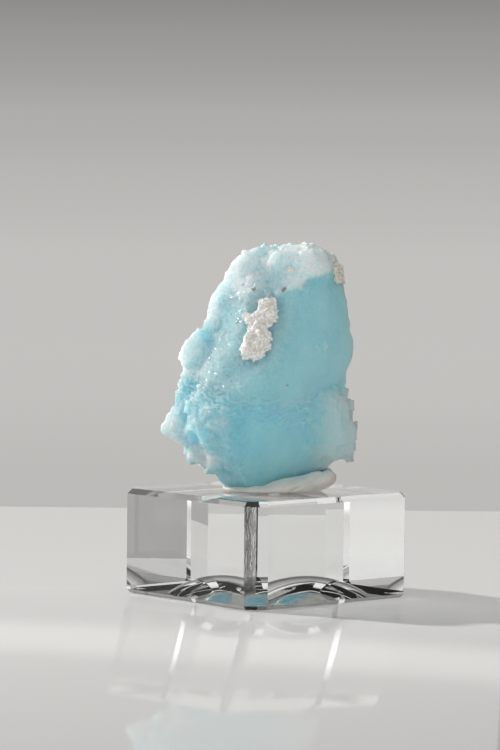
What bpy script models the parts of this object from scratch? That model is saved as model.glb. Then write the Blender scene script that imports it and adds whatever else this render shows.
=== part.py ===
"""Etched aquamarine on a clear glass display block, at its real size.

The stone is one etched crystal mass with white feldspar grown on it. A pad of
museum putty holds it on a square glass block, which has a shallow scoop ground
in its underside.

Frame: the block's sides lie along X and Y, and the origin is the centre of its
underside. Places on the stone are given in the display frame, in millimetres:
u to the right, v away from the viewer and z up, seen with one upright corner
of the block towards the viewer.
"""
import math
import random

import bmesh
import bpy
from mathutils import Euler, Matrix, Vector, noise
from mathutils.bvhtree import BVHTree

MM = 0.001

# Glass block
BLOCK_WIDTH = 50.4
BLOCK_HEIGHT = 24.8
CORNER_CUT = 3.9
TOP_BEVEL = 1.2
FOOT_BEVEL = 0.9
SCOOP_RADIUS = 19.2
SCOOP_DEPTH = 5.2
SCOOP_OFFSET = 1.4
SCOOP_OVERRUN = 1.0
SCOOP_RINGS = 7
SCOOP_SIDES = 48

# How far the block is turned away from the display frame
DISPLAY_TURN = math.radians(40.79)

# Space left between touching pieces, and the swollen stone that cuts it
FIT_GAP = 0.3
CUTTER_MARGIN = 0.1
CUTTER_VOXEL = 0.7
CUTTER_FACES = 7000

# A distance well outside the stone, where lines that look for its surface start
OUTSIDE = 60.0

# Main mass of the crystal: height, left, ridge, right, front and back
STONE_STATIONS = (
    (25.5, -11.2, -4.0, 2.6, -9.0, 8.6),
    (26.6, -11.4, -4.4, 6.6, -10.0, 9.8),
    (29.0, -12.8, -5.4, 11.8, -11.4, 11.6),
    (31.4, -16.6, -6.6, 15.6, -12.8, 13.2),
    (35.0, -18.6, -7.8, 17.6, -13.8, 14.6),
    (40.0, -19.6, -8.8, 18.2, -14.8, 15.6),
    (44.0, -21.0, -8.4, 18.0, -15.4, 16.0),
    (47.0, -21.4, -6.4, 16.2, -16.6, 16.2),
    (50.0, -20.6, -3.8, 16.4, -16.4, 15.8),
    (54.0, -18.8, -0.6, 19.4, -15.6, 15.2),
    (57.0, -17.4, 1.2, 20.6, -15.0, 14.4),
    (60.0, -16.4, 2.4, 20.3, -14.0, 13.6),
    (63.5, -15.2, 3.6, 19.2, -12.9, 12.6),
    (67.0, -14.4, 4.8, 19.6, -11.8, 11.2),
    (70.0, -13.8, 5.8, 19.3, -10.8, 10.0),
    (73.0, -12.0, 6.9, 18.0, -9.8, 8.8),
    (76.5, -10.4, 7.6, 17.6, -8.4, 7.4),
    (79.0, -8.4, 7.0, 16.2, -6.8, 6.0),
    (81.2, -5.4, 6.4, 13.2, -4.6, 4.4),
    (82.6, 2.4, 6.8, 10.8, -2.0, 2.4),
)
MID_DEPTH = 2.0
FLANK_SWELL = 0.10
BACK_CORNER = 0.73

# Rounded lobes grown on the mass: middle, radii, and lean about the line of sight
LOBES = (
    ((-16.4, 4.0, 56.2), (4.3, 3.2, 6.2), 18.0),
    ((-11.8, 3.0, 66.8), (2.4, 3.4, 6.2), 16.0),
    ((-18.0, 1.0, 49.2), (3.4, 5.0, 4.6), 0.0),
    ((4.2, -4.2, 78.2), (4.8, 4.2, 3.4), -6.0),
    ((9.4, -4.0, 78.6), (4.4, 4.2, 3.4), 4.0),
    ((13.2, -0.4, 77.6), (3.8, 4.2, 2.8), 14.0),
    ((-4.2, 1.2, 78.2), (4.8, 4.6, 3.0), -24.0),
)

# Blocky plates and crystals: middle, size, and lean about the line of sight
PLATES = (
    ((-20.9, 2.0, 39.0), (7.8, 5.0, 5.6), 30.0),
    ((-16.6, 0.0, 33.8), (3.8, 9.0, 4.6), 4.0),
    ((15.2, 3.0, 41.8), (6.2, 7.0, 7.0), 12.0),
    ((16.8, 3.4, 38.2), (7.4, 6.0, 5.2), 14.0),
    ((15.8, 4.0, 35.0), (8.2, 6.4, 4.2), 18.0),
    ((12.6, 4.6, 44.2), (6.8, 6.0, 3.6), 20.0),
    ((12.2, 3.6, 33.0), (7.0, 8.0, 3.6), 24.0),
)

# Upright columns that step down the back
COLUMN_SEED = 5
COLUMN_COUNT = 13
COLUMN_WIDTH = (5.0, 9.0)
COLUMN_DEPTH = (6.0, 9.0)
COLUMN_HEIGHT = (9.0, 24.0)
COLUMN_SPAN_Z = (36.0, 68.0)
COLUMN_FOOT = 29.5
COLUMN_REACH = (0.6, 2.2)
COLUMN_INSET = 0.78
COLUMN_LEAN = 0.1
COLUMN_TURN = 0.03

# Cluster of small crystals at the lower left
CLUSTER_SEED = 11
CLUSTER_COUNT = 26
CLUSTER_SPAN_U = (-17.6, -8.5)
CLUSTER_SPAN_Z = (29.5, 45.0)
CLUSTER_SIZE = (2.4, 4.6)
CLUSTER_TURN = 0.6
CLUSTER_SINK = 0.35

# Etched skin
BODY_VOXEL = 0.9
SKIN_VOXEL = 0.75
BODY_SMOOTHING = 7
SMOOTH_FACE = Vector((0.52, -0.85, 0.0))
SMOOTH_FACE_RANGE = (0.62, 0.90)
CRUST_EDGE_MIDDLE = (11.2, 75.6)
CRUST_EDGE_SLOPE = 0.48
CRUST_EDGE_BLEND = 1.5
LEDGE_LOW = (3.0, 44.2)
LEDGE_CURVE = 0.012
LEDGE_BLEND = 1.6
LEDGE_DEPTH = 0.7
LUMP_SIZE = 7.5
LUMP_HEIGHT = 0.75
LUMP_FADE = 0.9
LUMP_OCTAVES = 3
KNOB_SIZE = 3.0
KNOB_HEIGHT = 0.75
STREAK_SIZE = (2.5, 2.5, 14.0)
STREAK_HEIGHT = 0.25
STONE_FACES = 6300

# White feldspar on the front: place seen from the front, radii
CLUSTER_GRAINS = (
    ((1.1, 70.0), (1.3, 1.1, 1.2)),
    ((-0.2, 68.6), (2.3, 1.7, 2.4)),
    ((0.2, 66.4), (2.2, 1.6, 2.4)),
    ((-1.9, 65.8), (2.1, 1.5, 2.2)),
    ((-2.2, 63.4), (1.9, 1.2, 1.8)),
    ((-5.3, 66.3), (1.1, 0.9, 1.3)),
    ((-4.0, 65.2), (1.6, 0.9, 1.2)),
    ((-1.4, 61.6), (2.2, 1.6, 2.2)),
    ((-3.6, 61.0), (2.2, 1.6, 2.6)),
    ((-4.4, 58.4), (2.2, 1.6, 2.4)),
    ((-2.0, 58.8), (2.3, 1.6, 2.4)),
)
EDGE_PATCH_PLACE = (3.0, 76.0)
EDGE_PATCH_RADII = (0.9, 2.2, 2.4)
BEAD_PLACE = (5.1, 77.5)
BEAD_RADIUS = 1.15
FELDSPAR_VOXEL = 0.55
FELDSPAR_BUMP_SIZE = 1.3
FELDSPAR_BUMP = 0.25
GRAIN_THINNING = 0.55

# Museum putty: middle, radii and lean of each lump
PUTTY_LUMPS = (
    ((-1.2, -1.4, 25.4), (9.6, 11.4, 1.5), 0.0),
    ((-6.0, -3.0, 25.4), (4.8, 7.4, 1.3), 0.0),
    ((5.4, -4.0, 26.0), (8.6, 8.8, 2.3), -8.0),
    ((11.2, -3.4, 27.0), (5.8, 6.6, 2.3), -16.0),
    ((9.4, 3.0, 27.2), (6.8, 6.0, 3.0), -14.0),
)
PUTTY_VOXEL = 0.8
PUTTY_FACES = 700


def clear_scene():
    """Remove every object the file starts with."""
    for obj in list(bpy.data.objects):
        bpy.data.objects.remove(obj)


def new_collection(name):
    """Make a collection under the scene."""
    collection = bpy.data.collections.new(name)
    bpy.context.scene.collection.children.link(collection)
    return collection


def plain_material(name, colour, roughness, transmission=0.0, ior=1.5):
    """One Principled BSDF material."""
    material = bpy.data.materials.new(name)
    material.use_nodes = True
    shader = material.node_tree.nodes["Principled BSDF"]
    shader.inputs["Base Color"].default_value = (*colour, 1.0)
    shader.inputs["Roughness"].default_value = roughness
    shader.inputs["Metallic"].default_value = 0.0
    shader.inputs["Transmission Weight"].default_value = transmission
    shader.inputs["IOR"].default_value = ior
    return material


def add_object(name, bm, collection, material=None, parent=None):
    """Turn a bmesh in millimetres into an object in metres."""
    bmesh.ops.scale(bm, vec=(MM, MM, MM), verts=bm.verts)
    mesh = bpy.data.meshes.new(name)
    bm.to_mesh(mesh)
    bm.free()
    obj = bpy.data.objects.new(name, mesh)
    collection.objects.link(obj)
    obj.parent = parent
    if material:
        mesh.materials.append(material)
    return obj


def settled_mesh(obj):
    """The object's mesh with its modifiers worked in, as a bmesh in millimetres."""
    depsgraph = bpy.context.evaluated_depsgraph_get()
    mesh = bpy.data.meshes.new_from_object(obj.evaluated_get(depsgraph))
    bm = bmesh.new()
    bm.from_mesh(mesh)
    bpy.data.meshes.remove(mesh)
    bmesh.ops.scale(bm, vec=(1 / MM, 1 / MM, 1 / MM), verts=bm.verts)
    return bm


def take_settled_mesh(obj):
    """Settle an object's modifiers, remove it and give its mesh."""
    bm = settled_mesh(obj)
    bpy.data.objects.remove(obj)
    return bm


def voxel_fuse(obj, voxel):
    """Join everything in the object into one skin."""
    modifier = obj.modifiers.new("fuse", "REMESH")
    modifier.mode = "VOXEL"
    modifier.voxel_size = voxel * MM


def add_ellipsoid(bm, middle, radii, lean=0.0):
    """A rounded lump; lean turns it about the line of sight, in degrees."""
    turn = Matrix.Rotation(math.radians(lean), 4, "Y")
    place = Matrix.Translation(middle) @ turn @ Matrix.Diagonal((*radii, 1.0))
    bmesh.ops.create_icosphere(bm, subdivisions=3, radius=1.0, matrix=place)


def add_plate(bm, middle, size, turn):
    """A blocky crystal with flat faces."""
    place = Matrix.Translation(middle) @ turn @ Matrix.Diagonal((*size, 1.0))
    bmesh.ops.create_cube(bm, size=1.0, matrix=place)


def ease(low, high, value):
    """Smooth step from 0 at low to 1 at high."""
    t = min(max((value - low) / (high - low), 0.0), 1.0)
    return t * t * (3.0 - 2.0 * t)


def build_block(collection, cutters, material):
    """Glass block: cut corners, bevelled edges and a scoop in its underside."""
    bm = bmesh.new()
    bmesh.ops.create_cube(bm, size=1.0)
    bmesh.ops.scale(bm, vec=(BLOCK_WIDTH, BLOCK_WIDTH, BLOCK_HEIGHT), verts=bm.verts)
    bmesh.ops.translate(bm, vec=(0.0, 0.0, BLOCK_HEIGHT / 2), verts=bm.verts)
    upright = [e for e in bm.edges if abs(e.verts[0].co.z - e.verts[1].co.z) > BLOCK_HEIGHT / 2]
    bmesh.ops.bevel(bm, geom=upright, offset=CORNER_CUT, segments=1, affect="EDGES", profile=0.5)
    for height, width in ((BLOCK_HEIGHT, TOP_BEVEL), (0.0, FOOT_BEVEL)):
        rim = [e for e in bm.edges if all(abs(v.co.z - height) < 1e-4 for v in e.verts)]
        bmesh.ops.bevel(bm, geom=rim, offset=width, segments=1, affect="EDGES", profile=0.5)
    block = add_object("glass_base", bm, collection, material)
    scoop = build_scoop(cutters)
    cut = block.modifiers.new("scoop", "BOOLEAN")
    cut.operation = "DIFFERENCE"
    cut.solver = "EXACT"
    cut.object = scoop
    return block


def build_scoop(cutters):
    """Turned cutter: the cap of a large ball, carried on below the underside."""
    ball = (SCOOP_RADIUS ** 2 + SCOOP_DEPTH ** 2) / (2 * SCOOP_DEPTH)
    middle = SCOOP_DEPTH - ball
    edge_angle = math.acos((-SCOOP_OVERRUN - middle) / ball)
    bm = bmesh.new()
    profile = [bm.verts.new((0.0, 0.0, SCOOP_DEPTH))]
    for ring in range(1, SCOOP_RINGS + 1):
        angle = edge_angle * ring / SCOOP_RINGS
        profile.append(bm.verts.new((ball * math.sin(angle), 0.0, middle + ball * math.cos(angle))))
    profile.append(bm.verts.new((0.0, 0.0, -SCOOP_OVERRUN)))
    for upper, lower in zip(profile, profile[1:]):
        bm.edges.new((upper, lower))
    scoop = add_object("scoop_cutter", bm, cutters)
    turn = scoop.modifiers.new("turn", "SCREW")
    turn.axis = "Z"
    turn.angle = math.tau
    turn.steps = SCOOP_SIDES
    turn.render_steps = SCOOP_SIDES
    turn.use_merge_vertices = True
    turn.merge_threshold = 0.00001
    scoop.location.x = SCOOP_OFFSET * math.cos(DISPLAY_TURN) * MM
    scoop.location.y = -SCOOP_OFFSET * math.sin(DISPLAY_TURN) * MM
    scoop.hide_render = True
    scoop.display_type = "WIRE"
    return scoop


def section_points(station):
    """Eight corners of the crystal at one height, anticlockwise from above."""
    height, left, ridge, right, front, back = station
    swell = (back - front) * FLANK_SWELL
    left_front = ((left + ridge - swell) / 2, (MID_DEPTH + front) / 2 - swell)
    right_front = ((right + ridge + swell) / 2, (MID_DEPTH + front - swell) / 2)
    corners = (
        (left, MID_DEPTH),
        left_front,
        (ridge, front),
        right_front,
        (right, MID_DEPTH),
        (right * BACK_CORNER, back * BACK_CORNER),
        ((left + right) / 2, back),
        (left * BACK_CORNER, back * BACK_CORNER),
    )
    return [Vector((u, v, height)) for u, v in corners]


def stone_mass(collection):
    """Main mass: a loft through the stations, fused and softened."""
    bm = bmesh.new()
    rings = [[bm.verts.new(p) for p in section_points(s)] for s in STONE_STATIONS]
    count = len(rings[0])
    for lower, upper in zip(rings, rings[1:]):
        for i in range(count):
            j = (i + 1) % count
            bm.faces.new((lower[i], lower[j], upper[j], upper[i]))
    bm.faces.new(reversed(rings[0]))
    bm.faces.new(rings[-1])
    mass = add_object("stone_mass", bm, collection)
    voxel_fuse(mass, BODY_VOXEL)
    soften = mass.modifiers.new("soften", "SMOOTH")
    soften.factor = 0.5
    soften.iterations = BODY_SMOOTHING
    return take_settled_mesh(mass)


def station_at(height):
    """The mass's station at any height, between the listed ones."""
    for lower, upper in zip(STONE_STATIONS, STONE_STATIONS[1:]):
        if lower[0] <= height <= upper[0]:
            t = (height - lower[0]) / (upper[0] - lower[0])
            return [a + (b - a) * t for a, b in zip(lower, upper)]
    raise ValueError(f"no station at height {height}")


def add_back_columns(bm, surface):
    """Upright beryl columns, which stand a little proud of the back."""
    dice = random.Random(COLUMN_SEED)
    for i in range(COLUMN_COUNT):
        ranges = (COLUMN_WIDTH, COLUMN_DEPTH, COLUMN_HEIGHT)
        size = Vector([dice.uniform(*span) for span in ranges])
        middle = max(dice.uniform(*COLUMN_SPAN_Z), COLUMN_FOOT + size.z / 2)
        top = station_at(middle + size.z / 2)
        foot = station_at(middle - size.z / 2)
        left = max(top[1], foot[1]) * COLUMN_INSET
        right = min(top[3], foot[3]) * COLUMN_INSET
        u = left + (right - left) * (i + 0.5) / COLUMN_COUNT
        seat = back_point(surface, u, middle)
        seat.y += dice.uniform(*COLUMN_REACH) - size.y / 2
        lean = dice.uniform(-COLUMN_LEAN, COLUMN_LEAN)
        turn = Euler((0.0, lean, -u * COLUMN_TURN)).to_matrix().to_4x4()
        add_plate(bm, seat, size, turn)


def add_crystal_cluster(bm, surface):
    """Small crystals seated on the lower left flank."""
    dice = random.Random(CLUSTER_SEED)
    for _ in range(CLUSTER_COUNT):
        u = dice.uniform(*CLUSTER_SPAN_U)
        z = dice.uniform(*CLUSTER_SPAN_Z)
        size = Vector(dice.uniform(*CLUSTER_SIZE) for _ in range(3))
        angles = [dice.uniform(-CLUSTER_TURN, CLUSTER_TURN) for _ in range(3)]
        turn = Euler(angles).to_matrix().to_4x4()
        seat = front_point(surface, u, z)
        if seat is None:
            continue
        seat.y += size.y * CLUSTER_SINK
        add_plate(bm, seat, size, turn)


def surface_point(surface, start, direction):
    """Where a line from outside first meets the surface, or None where it misses."""
    return surface.ray_cast(Vector(start), Vector(direction))[0]


def front_point(surface, u, z):
    """Where the line of sight at u, z meets the stone."""
    return surface_point(surface, (u, -OUTSIDE, z), (0.0, 1.0, 0.0))


def back_point(surface, u, z):
    """Where a line from behind at u, z meets the stone."""
    return surface_point(surface, (u, OUTSIDE, z), (0.0, -1.0, 0.0))


def right_point(surface, v, z):
    """Where a line from the right at v, z meets the stone."""
    return surface_point(surface, (OUTSIDE, v, z), (-1.0, 0.0, 0.0))


def etched_relief(point, normal):
    """How far the etched skin stands out of the plain form at a point."""
    crust_edge = CRUST_EDGE_MIDDLE[1] + CRUST_EDGE_SLOPE * (point.x - CRUST_EDGE_MIDDLE[0])
    under_crust = 1.0 - ease(crust_edge - CRUST_EDGE_BLEND, crust_edge, point.z)
    smooth = ease(*SMOOTH_FACE_RANGE, normal.dot(SMOOTH_FACE)) * under_crust
    lumps = noise.fractal(point / LUMP_SIZE, LUMP_FADE, 2.0, LUMP_OCTAVES) * LUMP_HEIGHT
    nearest = noise.voronoi(point / KNOB_SIZE)[0]
    knobs = (nearest[1] - nearest[0]) * KNOB_HEIGHT
    ledge_line = LEDGE_LOW[1] + LEDGE_CURVE * (point.x - LEDGE_LOW[0]) ** 2
    ledge = (1.0 - ease(ledge_line, ledge_line + LEDGE_BLEND, point.z)) * -LEDGE_DEPTH
    streaks = noise.noise(Vector(c / size for c, size in zip(point, STREAK_SIZE))) * STREAK_HEIGHT
    return (lumps + knobs) * (1.0 - smooth) + (streaks + ledge) * smooth


def build_stone(collection, material, turned):
    """The aquamarine: one etched mass with its lobes, plates and crystals."""
    bm = stone_mass(collection)
    surface = BVHTree.FromBMesh(bm)
    for middle, radii, lean in LOBES:
        add_ellipsoid(bm, middle, radii, lean)
    for middle, size, lean in PLATES:
        add_plate(bm, middle, size, Matrix.Rotation(math.radians(lean), 4, "Y"))
    add_crystal_cluster(bm, surface)
    add_back_columns(bm, surface)
    fused = add_object("stone_fused", bm, collection)
    voxel_fuse(fused, SKIN_VOXEL)
    bm = take_settled_mesh(fused)
    axes = {"use_axis_x": True, "use_axis_y": True, "use_axis_z": True}
    bmesh.ops.smooth_vert(bm, verts=bm.verts, factor=0.5, **axes)
    bm.normal_update()
    moves = [v.normal * etched_relief(v.co, v.normal) for v in bm.verts]
    for vert, move in zip(bm.verts, moves):
        vert.co += move
    faces = sum(len(f.verts) - 2 for f in bm.faces)
    stone = add_object("aquamarine_crystal", bm, collection, material, turned)
    thin = stone.modifiers.new("thin_out", "DECIMATE")
    thin.ratio = STONE_FACES / faces
    thin.use_collapse_triangulate = True
    return stone


def swollen_copy(stone, cutters, turned):
    """The stone swollen by the fit gap, which cuts what sits on or under it."""
    bm = settled_mesh(stone)
    bm.normal_update()
    for vert in bm.verts:
        vert.co += vert.normal * (FIT_GAP + CUTTER_MARGIN)
    swollen = add_object("stone_swollen", bm, cutters)
    voxel_fuse(swollen, CUTTER_VOXEL)
    bm = take_settled_mesh(swollen)
    faces = sum(len(f.verts) - 2 for f in bm.faces)
    cutter = add_object("stone_cutter", bm, cutters, parent=turned)
    thin = cutter.modifiers.new("thin_out", "DECIMATE")
    thin.ratio = CUTTER_FACES / faces
    cutter.hide_render = True
    cutter.display_type = "WIRE"
    return cutter


def cut_by(obj, cutter):
    """Cut one object by another."""
    cut = obj.modifiers.new("seat", "BOOLEAN")
    cut.operation = "DIFFERENCE"
    cut.solver = "EXACT"
    cut.object = cutter


def build_grains(name, grains, voxel, collection, material, turned, cutter):
    """White feldspar: rounded grains fused into one crust and seated on the stone."""
    bm = bmesh.new()
    for middle, radii in grains:
        add_ellipsoid(bm, middle, radii)
    rough = add_object(name + "_rough", bm, collection)
    voxel_fuse(rough, voxel)
    bm = take_settled_mesh(rough)
    bm.normal_update()
    for vert in bm.verts:
        vert.co += vert.normal * noise.noise(vert.co / FELDSPAR_BUMP_SIZE) * FELDSPAR_BUMP
    grains_object = add_object(name, bm, collection, material, turned)
    thin = grains_object.modifiers.new("thin_out", "DECIMATE")
    thin.ratio = GRAIN_THINNING
    cut_by(grains_object, cutter)
    return grains_object


def build_putty(collection, material, turned, cutter):
    """Pressed pad of putty between the block and the stone."""
    bm = bmesh.new()
    for middle, radii, lean in PUTTY_LUMPS:
        add_ellipsoid(bm, middle, radii, lean)
    rough = add_object("putty_rough", bm, collection)
    voxel_fuse(rough, PUTTY_VOXEL)
    bm = take_settled_mesh(rough)
    floor = BLOCK_HEIGHT + FIT_GAP
    below = {"plane_co": (0.0, 0.0, floor), "plane_no": (0.0, 0.0, -1.0), "clear_outer": True}
    bmesh.ops.bisect_plane(bm, geom=bm.verts[:] + bm.edges[:] + bm.faces[:], **below)
    bmesh.ops.holes_fill(bm, edges=[e for e in bm.edges if e.is_boundary])
    bmesh.ops.triangulate(bm, faces=bm.faces)
    bmesh.ops.recalc_face_normals(bm, faces=bm.faces)
    faces = len(bm.faces)
    putty = add_object("mounting_putty", bm, collection, material, turned)
    thin = putty.modifiers.new("thin_out", "DECIMATE")
    thin.ratio = min(1.0, PUTTY_FACES / faces)
    cut_by(putty, cutter)
    return putty


def main():
    clear_scene()
    collection = new_collection("etched_aquamarine")
    cutters = new_collection("cutters")
    glass = plain_material("clear_glass", (0.95, 0.97, 0.97), 0.02, 1.0, 1.5)
    beryl = plain_material("etched_beryl", (0.42, 0.70, 0.74), 0.45, 0.6, 1.57)
    feldspar = plain_material("white_feldspar", (0.85, 0.83, 0.80), 0.8)
    cream = plain_material("cream_feldspar", (0.80, 0.76, 0.70), 0.75)
    putty = plain_material("museum_putty", (0.78, 0.76, 0.72), 0.7)
    turned = bpy.data.objects.new("display_turn", None)
    collection.objects.link(turned)
    turned.rotation_euler.z = -DISPLAY_TURN

    build_block(collection, cutters, glass)
    stone = build_stone(collection, beryl, turned)
    cutter = swollen_copy(stone, cutters, turned)
    surface_mesh = settled_mesh(stone)
    surface = BVHTree.FromBMesh(surface_mesh)
    surface_mesh.free()

    front_grains = [(front_point(surface, *place), radii) for place, radii in CLUSTER_GRAINS]
    build_grains("feldspar_cluster", front_grains, FELDSPAR_VOXEL, collection, feldspar, turned, cutter)
    bead = [(front_point(surface, *BEAD_PLACE), (BEAD_RADIUS,) * 3)]
    build_grains("feldspar_bead", bead, FELDSPAR_VOXEL, collection, feldspar, turned, cutter)
    patch = [(right_point(surface, *EDGE_PATCH_PLACE), EDGE_PATCH_RADII)]
    build_grains("feldspar_edge_patch", patch, FELDSPAR_VOXEL, collection, cream, turned, cutter)
    build_putty(collection, putty, turned, cutter)


main()
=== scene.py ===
"""Etched aquamarine on its glass block: fine surfaces, finishes, stage and camera.

The fixed frame gives every solid at its real size, in metres. Each operator builds one piece, or
a group of like pieces, over the solid that it stands for. Places on the stone are worked out in
the display frame, in millimetres: u to the right, v away from the viewer and z up.
"""
import math
import random

import bmesh
import bpy
import numpy as np
from mathutils import Euler, Matrix, Vector, noise
from mathutils.bvhtree import BVHTree


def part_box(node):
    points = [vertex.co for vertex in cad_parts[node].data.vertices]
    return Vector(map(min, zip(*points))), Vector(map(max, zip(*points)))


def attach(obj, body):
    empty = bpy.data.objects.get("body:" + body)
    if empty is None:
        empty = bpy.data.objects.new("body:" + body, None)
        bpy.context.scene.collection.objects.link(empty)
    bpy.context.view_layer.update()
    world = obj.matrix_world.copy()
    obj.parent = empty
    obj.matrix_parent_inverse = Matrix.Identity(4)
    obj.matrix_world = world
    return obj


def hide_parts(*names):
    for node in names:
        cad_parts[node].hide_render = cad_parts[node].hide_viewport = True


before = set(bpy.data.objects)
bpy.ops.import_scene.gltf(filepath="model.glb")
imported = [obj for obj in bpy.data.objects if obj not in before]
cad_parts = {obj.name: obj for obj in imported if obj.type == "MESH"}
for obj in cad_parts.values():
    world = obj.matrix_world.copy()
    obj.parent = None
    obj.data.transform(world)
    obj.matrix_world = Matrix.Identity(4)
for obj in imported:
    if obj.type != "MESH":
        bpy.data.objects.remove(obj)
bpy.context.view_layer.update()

bl_info = {
    "name": "Etched Aquamarine",
    "version": (1, 0, 0),
    "blender": (4, 5, 0),
    "location": "3D View > Sidebar > Aquamarine",
    "description": "Builds an etched aquamarine held by putty on a clear glass block",
    "category": "Object",
}

BODY = "root"
MM = 0.001

# How far the block is turned away from the display frame
DISPLAY_TURN = math.radians(40.79)
TO_DISPLAY = Matrix.Rotation(DISPLAY_TURN, 4, "Z") @ Matrix.Scale(1 / MM, 4)
FROM_DISPLAY = TO_DISPLAY.inverted()

# Regions of the crystal's skin
RIDGE_LINE = ((24.0, -6.5), (38.0, -9.0), (44.0, -7.5), (56.0, 0.0), (67.0, 4.5), (76.0, 8.5))
RIDGE_BLEND = (-9.0, 4.5)
GRAIN_BLEND = (-1.0, 8.5)
CRUST_EDGE_MIDDLE = (11.2, 76.4)
CRUST_EDGE_SLOPE = 0.48
CRUST_EDGE_BLEND = 1.6
CRUST_LIP = 0.4
CRUST_START_U = (0.0, 6.0)
CRUST_FACING = (-0.3, 0.2)
LEDGE_LOW = (3.0, 44.2)
LEDGE_CURVE = 0.012
LEDGE_BLEND = 2.6
WING_SPAN_U = (9.5, 14.5)
WING_SPAN_Z = (47.0, 49.0)

# Flat etched faces on the rough skin: size, height and slope, and the share of them that is
# left where the skin is even
SUGAR_FACES = ((2.2, 0.05, 0.018), (1.1, 0.04, 0.028), (0.6, 0.04, 0.05))
LEAST_SUGAR = 0.22

# Low relief of the smooth face: sizes and heights of its dimples, and its upright streaks
DIMPLES = ((1.1, 0.08), (3.0, 0.16))
STREAK_SIZE = (0.9, 0.9, 9.0)
STREAK_HEIGHT = 0.05

# Ripples along the ledge: they wander by a noise of a size and strength, are highest a little
# below its line and fade out over a span. Their painted shade and highlight is weaker than their height
RIPPLE_SPACING = 1.35
RIPPLE_HEIGHT = 0.24
RIPPLE_WANDER = (2.4, 1.3)
RIPPLE_FADE = (1.0, 5.5)
RIPPLE_LINE = -0.6
RIPPLE_PAINTED_SHADING = 0.26

# Upright steps of the wing
STAIR_SIZE = (1.3, 2.9, 1.7)
STAIR_HEIGHT = 0.12

# Rounding of the ridge between the rough side and the smooth face
RIDGE_ROUNDS = 26
RIDGE_LEFT = ((42.0, -9.0), (48.0, -18.0))
RIDGE_WIDTH = 4.0
RIDGE_RIGHT = (11.0, 15.0)
RIDGE_SPAN_Z = (27.0, 31.0)
RIDGE_TOP_Z = (72.0, 78.0)
RIDGE_FACING = (0.15, 0.55)

# Brown grains caught in the skin: across, up and size
SPECKS = ((-3.6, 72.6, 0.7), (3.5, 72.7, 0.75), (-7.3, 64.7, 0.4), (4.6, 50.3, 0.35), (-6.0, 73.5, 0.35))

# Distance well outside the stone, where lines that look for its skin start
OUTSIDE = 120.0

# The putty's lowest height, and the crease in its tongue: a point on it, its slope, width and
# depth, and the span over which it starts
PUTTY_FOOT = 25.1
CREASE_POINT = (9.6, 27.6)
CREASE_SLOPE = 0.55
CREASE_WIDTH = 0.35
CREASE_DEPTH = 0.45
CREASE_START = (4.0, 7.0)

# How feldspar grains are pitted: pit size, pit depth and the level between pits, then lumps
PITS = (0.42, 0.34, 0.45)
LUMPS = (1.3, 0.22)

# How much each clear or shiny stuff bends light
BERYL_IOR = 1.57
GLASS_IOR = 1.5
FELDSPAR_IOR = 1.52
TABLE_IOR = 1.08

# Width of the tiny faces in the stone's finish, in metres, and the chance that one stays dull
FACET = 0.00055
DULL_CHANCE = 0.86

# Small crystals on the skin. Each row: the side they are seen from, seed and count, spans across
# and up, ranges of width, depth and height, reach out of the skin, and turn
GROWTHS = (
    ("front", 1, 130, (-18.0, -8.0), (28.5, 45.0), ((0.7, 2.0), (0.9, 2.0), (0.7, 2.0)),
     (-0.1, 0.45), 0.5),
    ("front", 2, 110, (-7.5, 15.0), (75.0, 82.5), ((0.5, 1.3), (0.8, 1.6), (0.5, 1.1)), (0.0, 0.35), 0.5),
    ("front", 3, 60, (-19.0, -11.0), (46.0, 70.0), ((0.6, 1.5), (0.9, 1.6), (0.6, 1.8)),
     (-0.25, 0.02), 0.3),
    ("top", 8, 150, (-7.5, 16.0), (-9.0, 10.0), ((0.6, 1.7), (0.6, 1.7), (0.6, 1.6)), (0.2, 0.75), 0.6),
    ("right", 4, 60, (-6.0, 8.0), (32.0, 48.0), ((0.9, 2.4), (0.6, 1.6), (0.8, 2.8)), (0.0, 0.6), 0.10),
    ("left", 6, 40, (-8.0, 10.0), (29.0, 66.0), ((0.9, 2.2), (0.8, 2.2), (0.8, 3.0)), (-0.1, 0.35), 0.25),
    ("back", 7, 190, (-15.0, 12.5), (31.0, 66.0), ((1.0, 3.0), (1.0, 3.0), (2.0, 8.0)), (-0.1, 0.6), 0.10),
)
SIDES = {
    "front": Vector((0.0, 1.0, 0.0)),
    "back": Vector((0.0, -1.0, 0.0)),
    "right": Vector((-1.0, 0.0, 0.0)),
    "left": Vector((1.0, 0.0, 0.0)),
    "top": Vector((0.0, 0.0, -1.0)),
}

# Paler, thinner growths: middle and radii
PALE_GROWTHS = (
    ((-18.5, 3.0, 56.2), (6.0, 10.0, 8.6)),
    ((-22.2, 2.0, 39.5), (4.8, 8.0, 6.2)),
    ((-13.6, 3.0, 67.0), (4.0, 8.0, 8.0)),
    ((-14.2, -6.0, 33.0), (5.2, 6.0, 3.0)),
    ((-11.0, -10.0, 41.2), (2.6, 6.0, 2.4)),
    ((-5.0, 0.0, 77.0), (12.0, 14.0, 8.0)),
)

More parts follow.
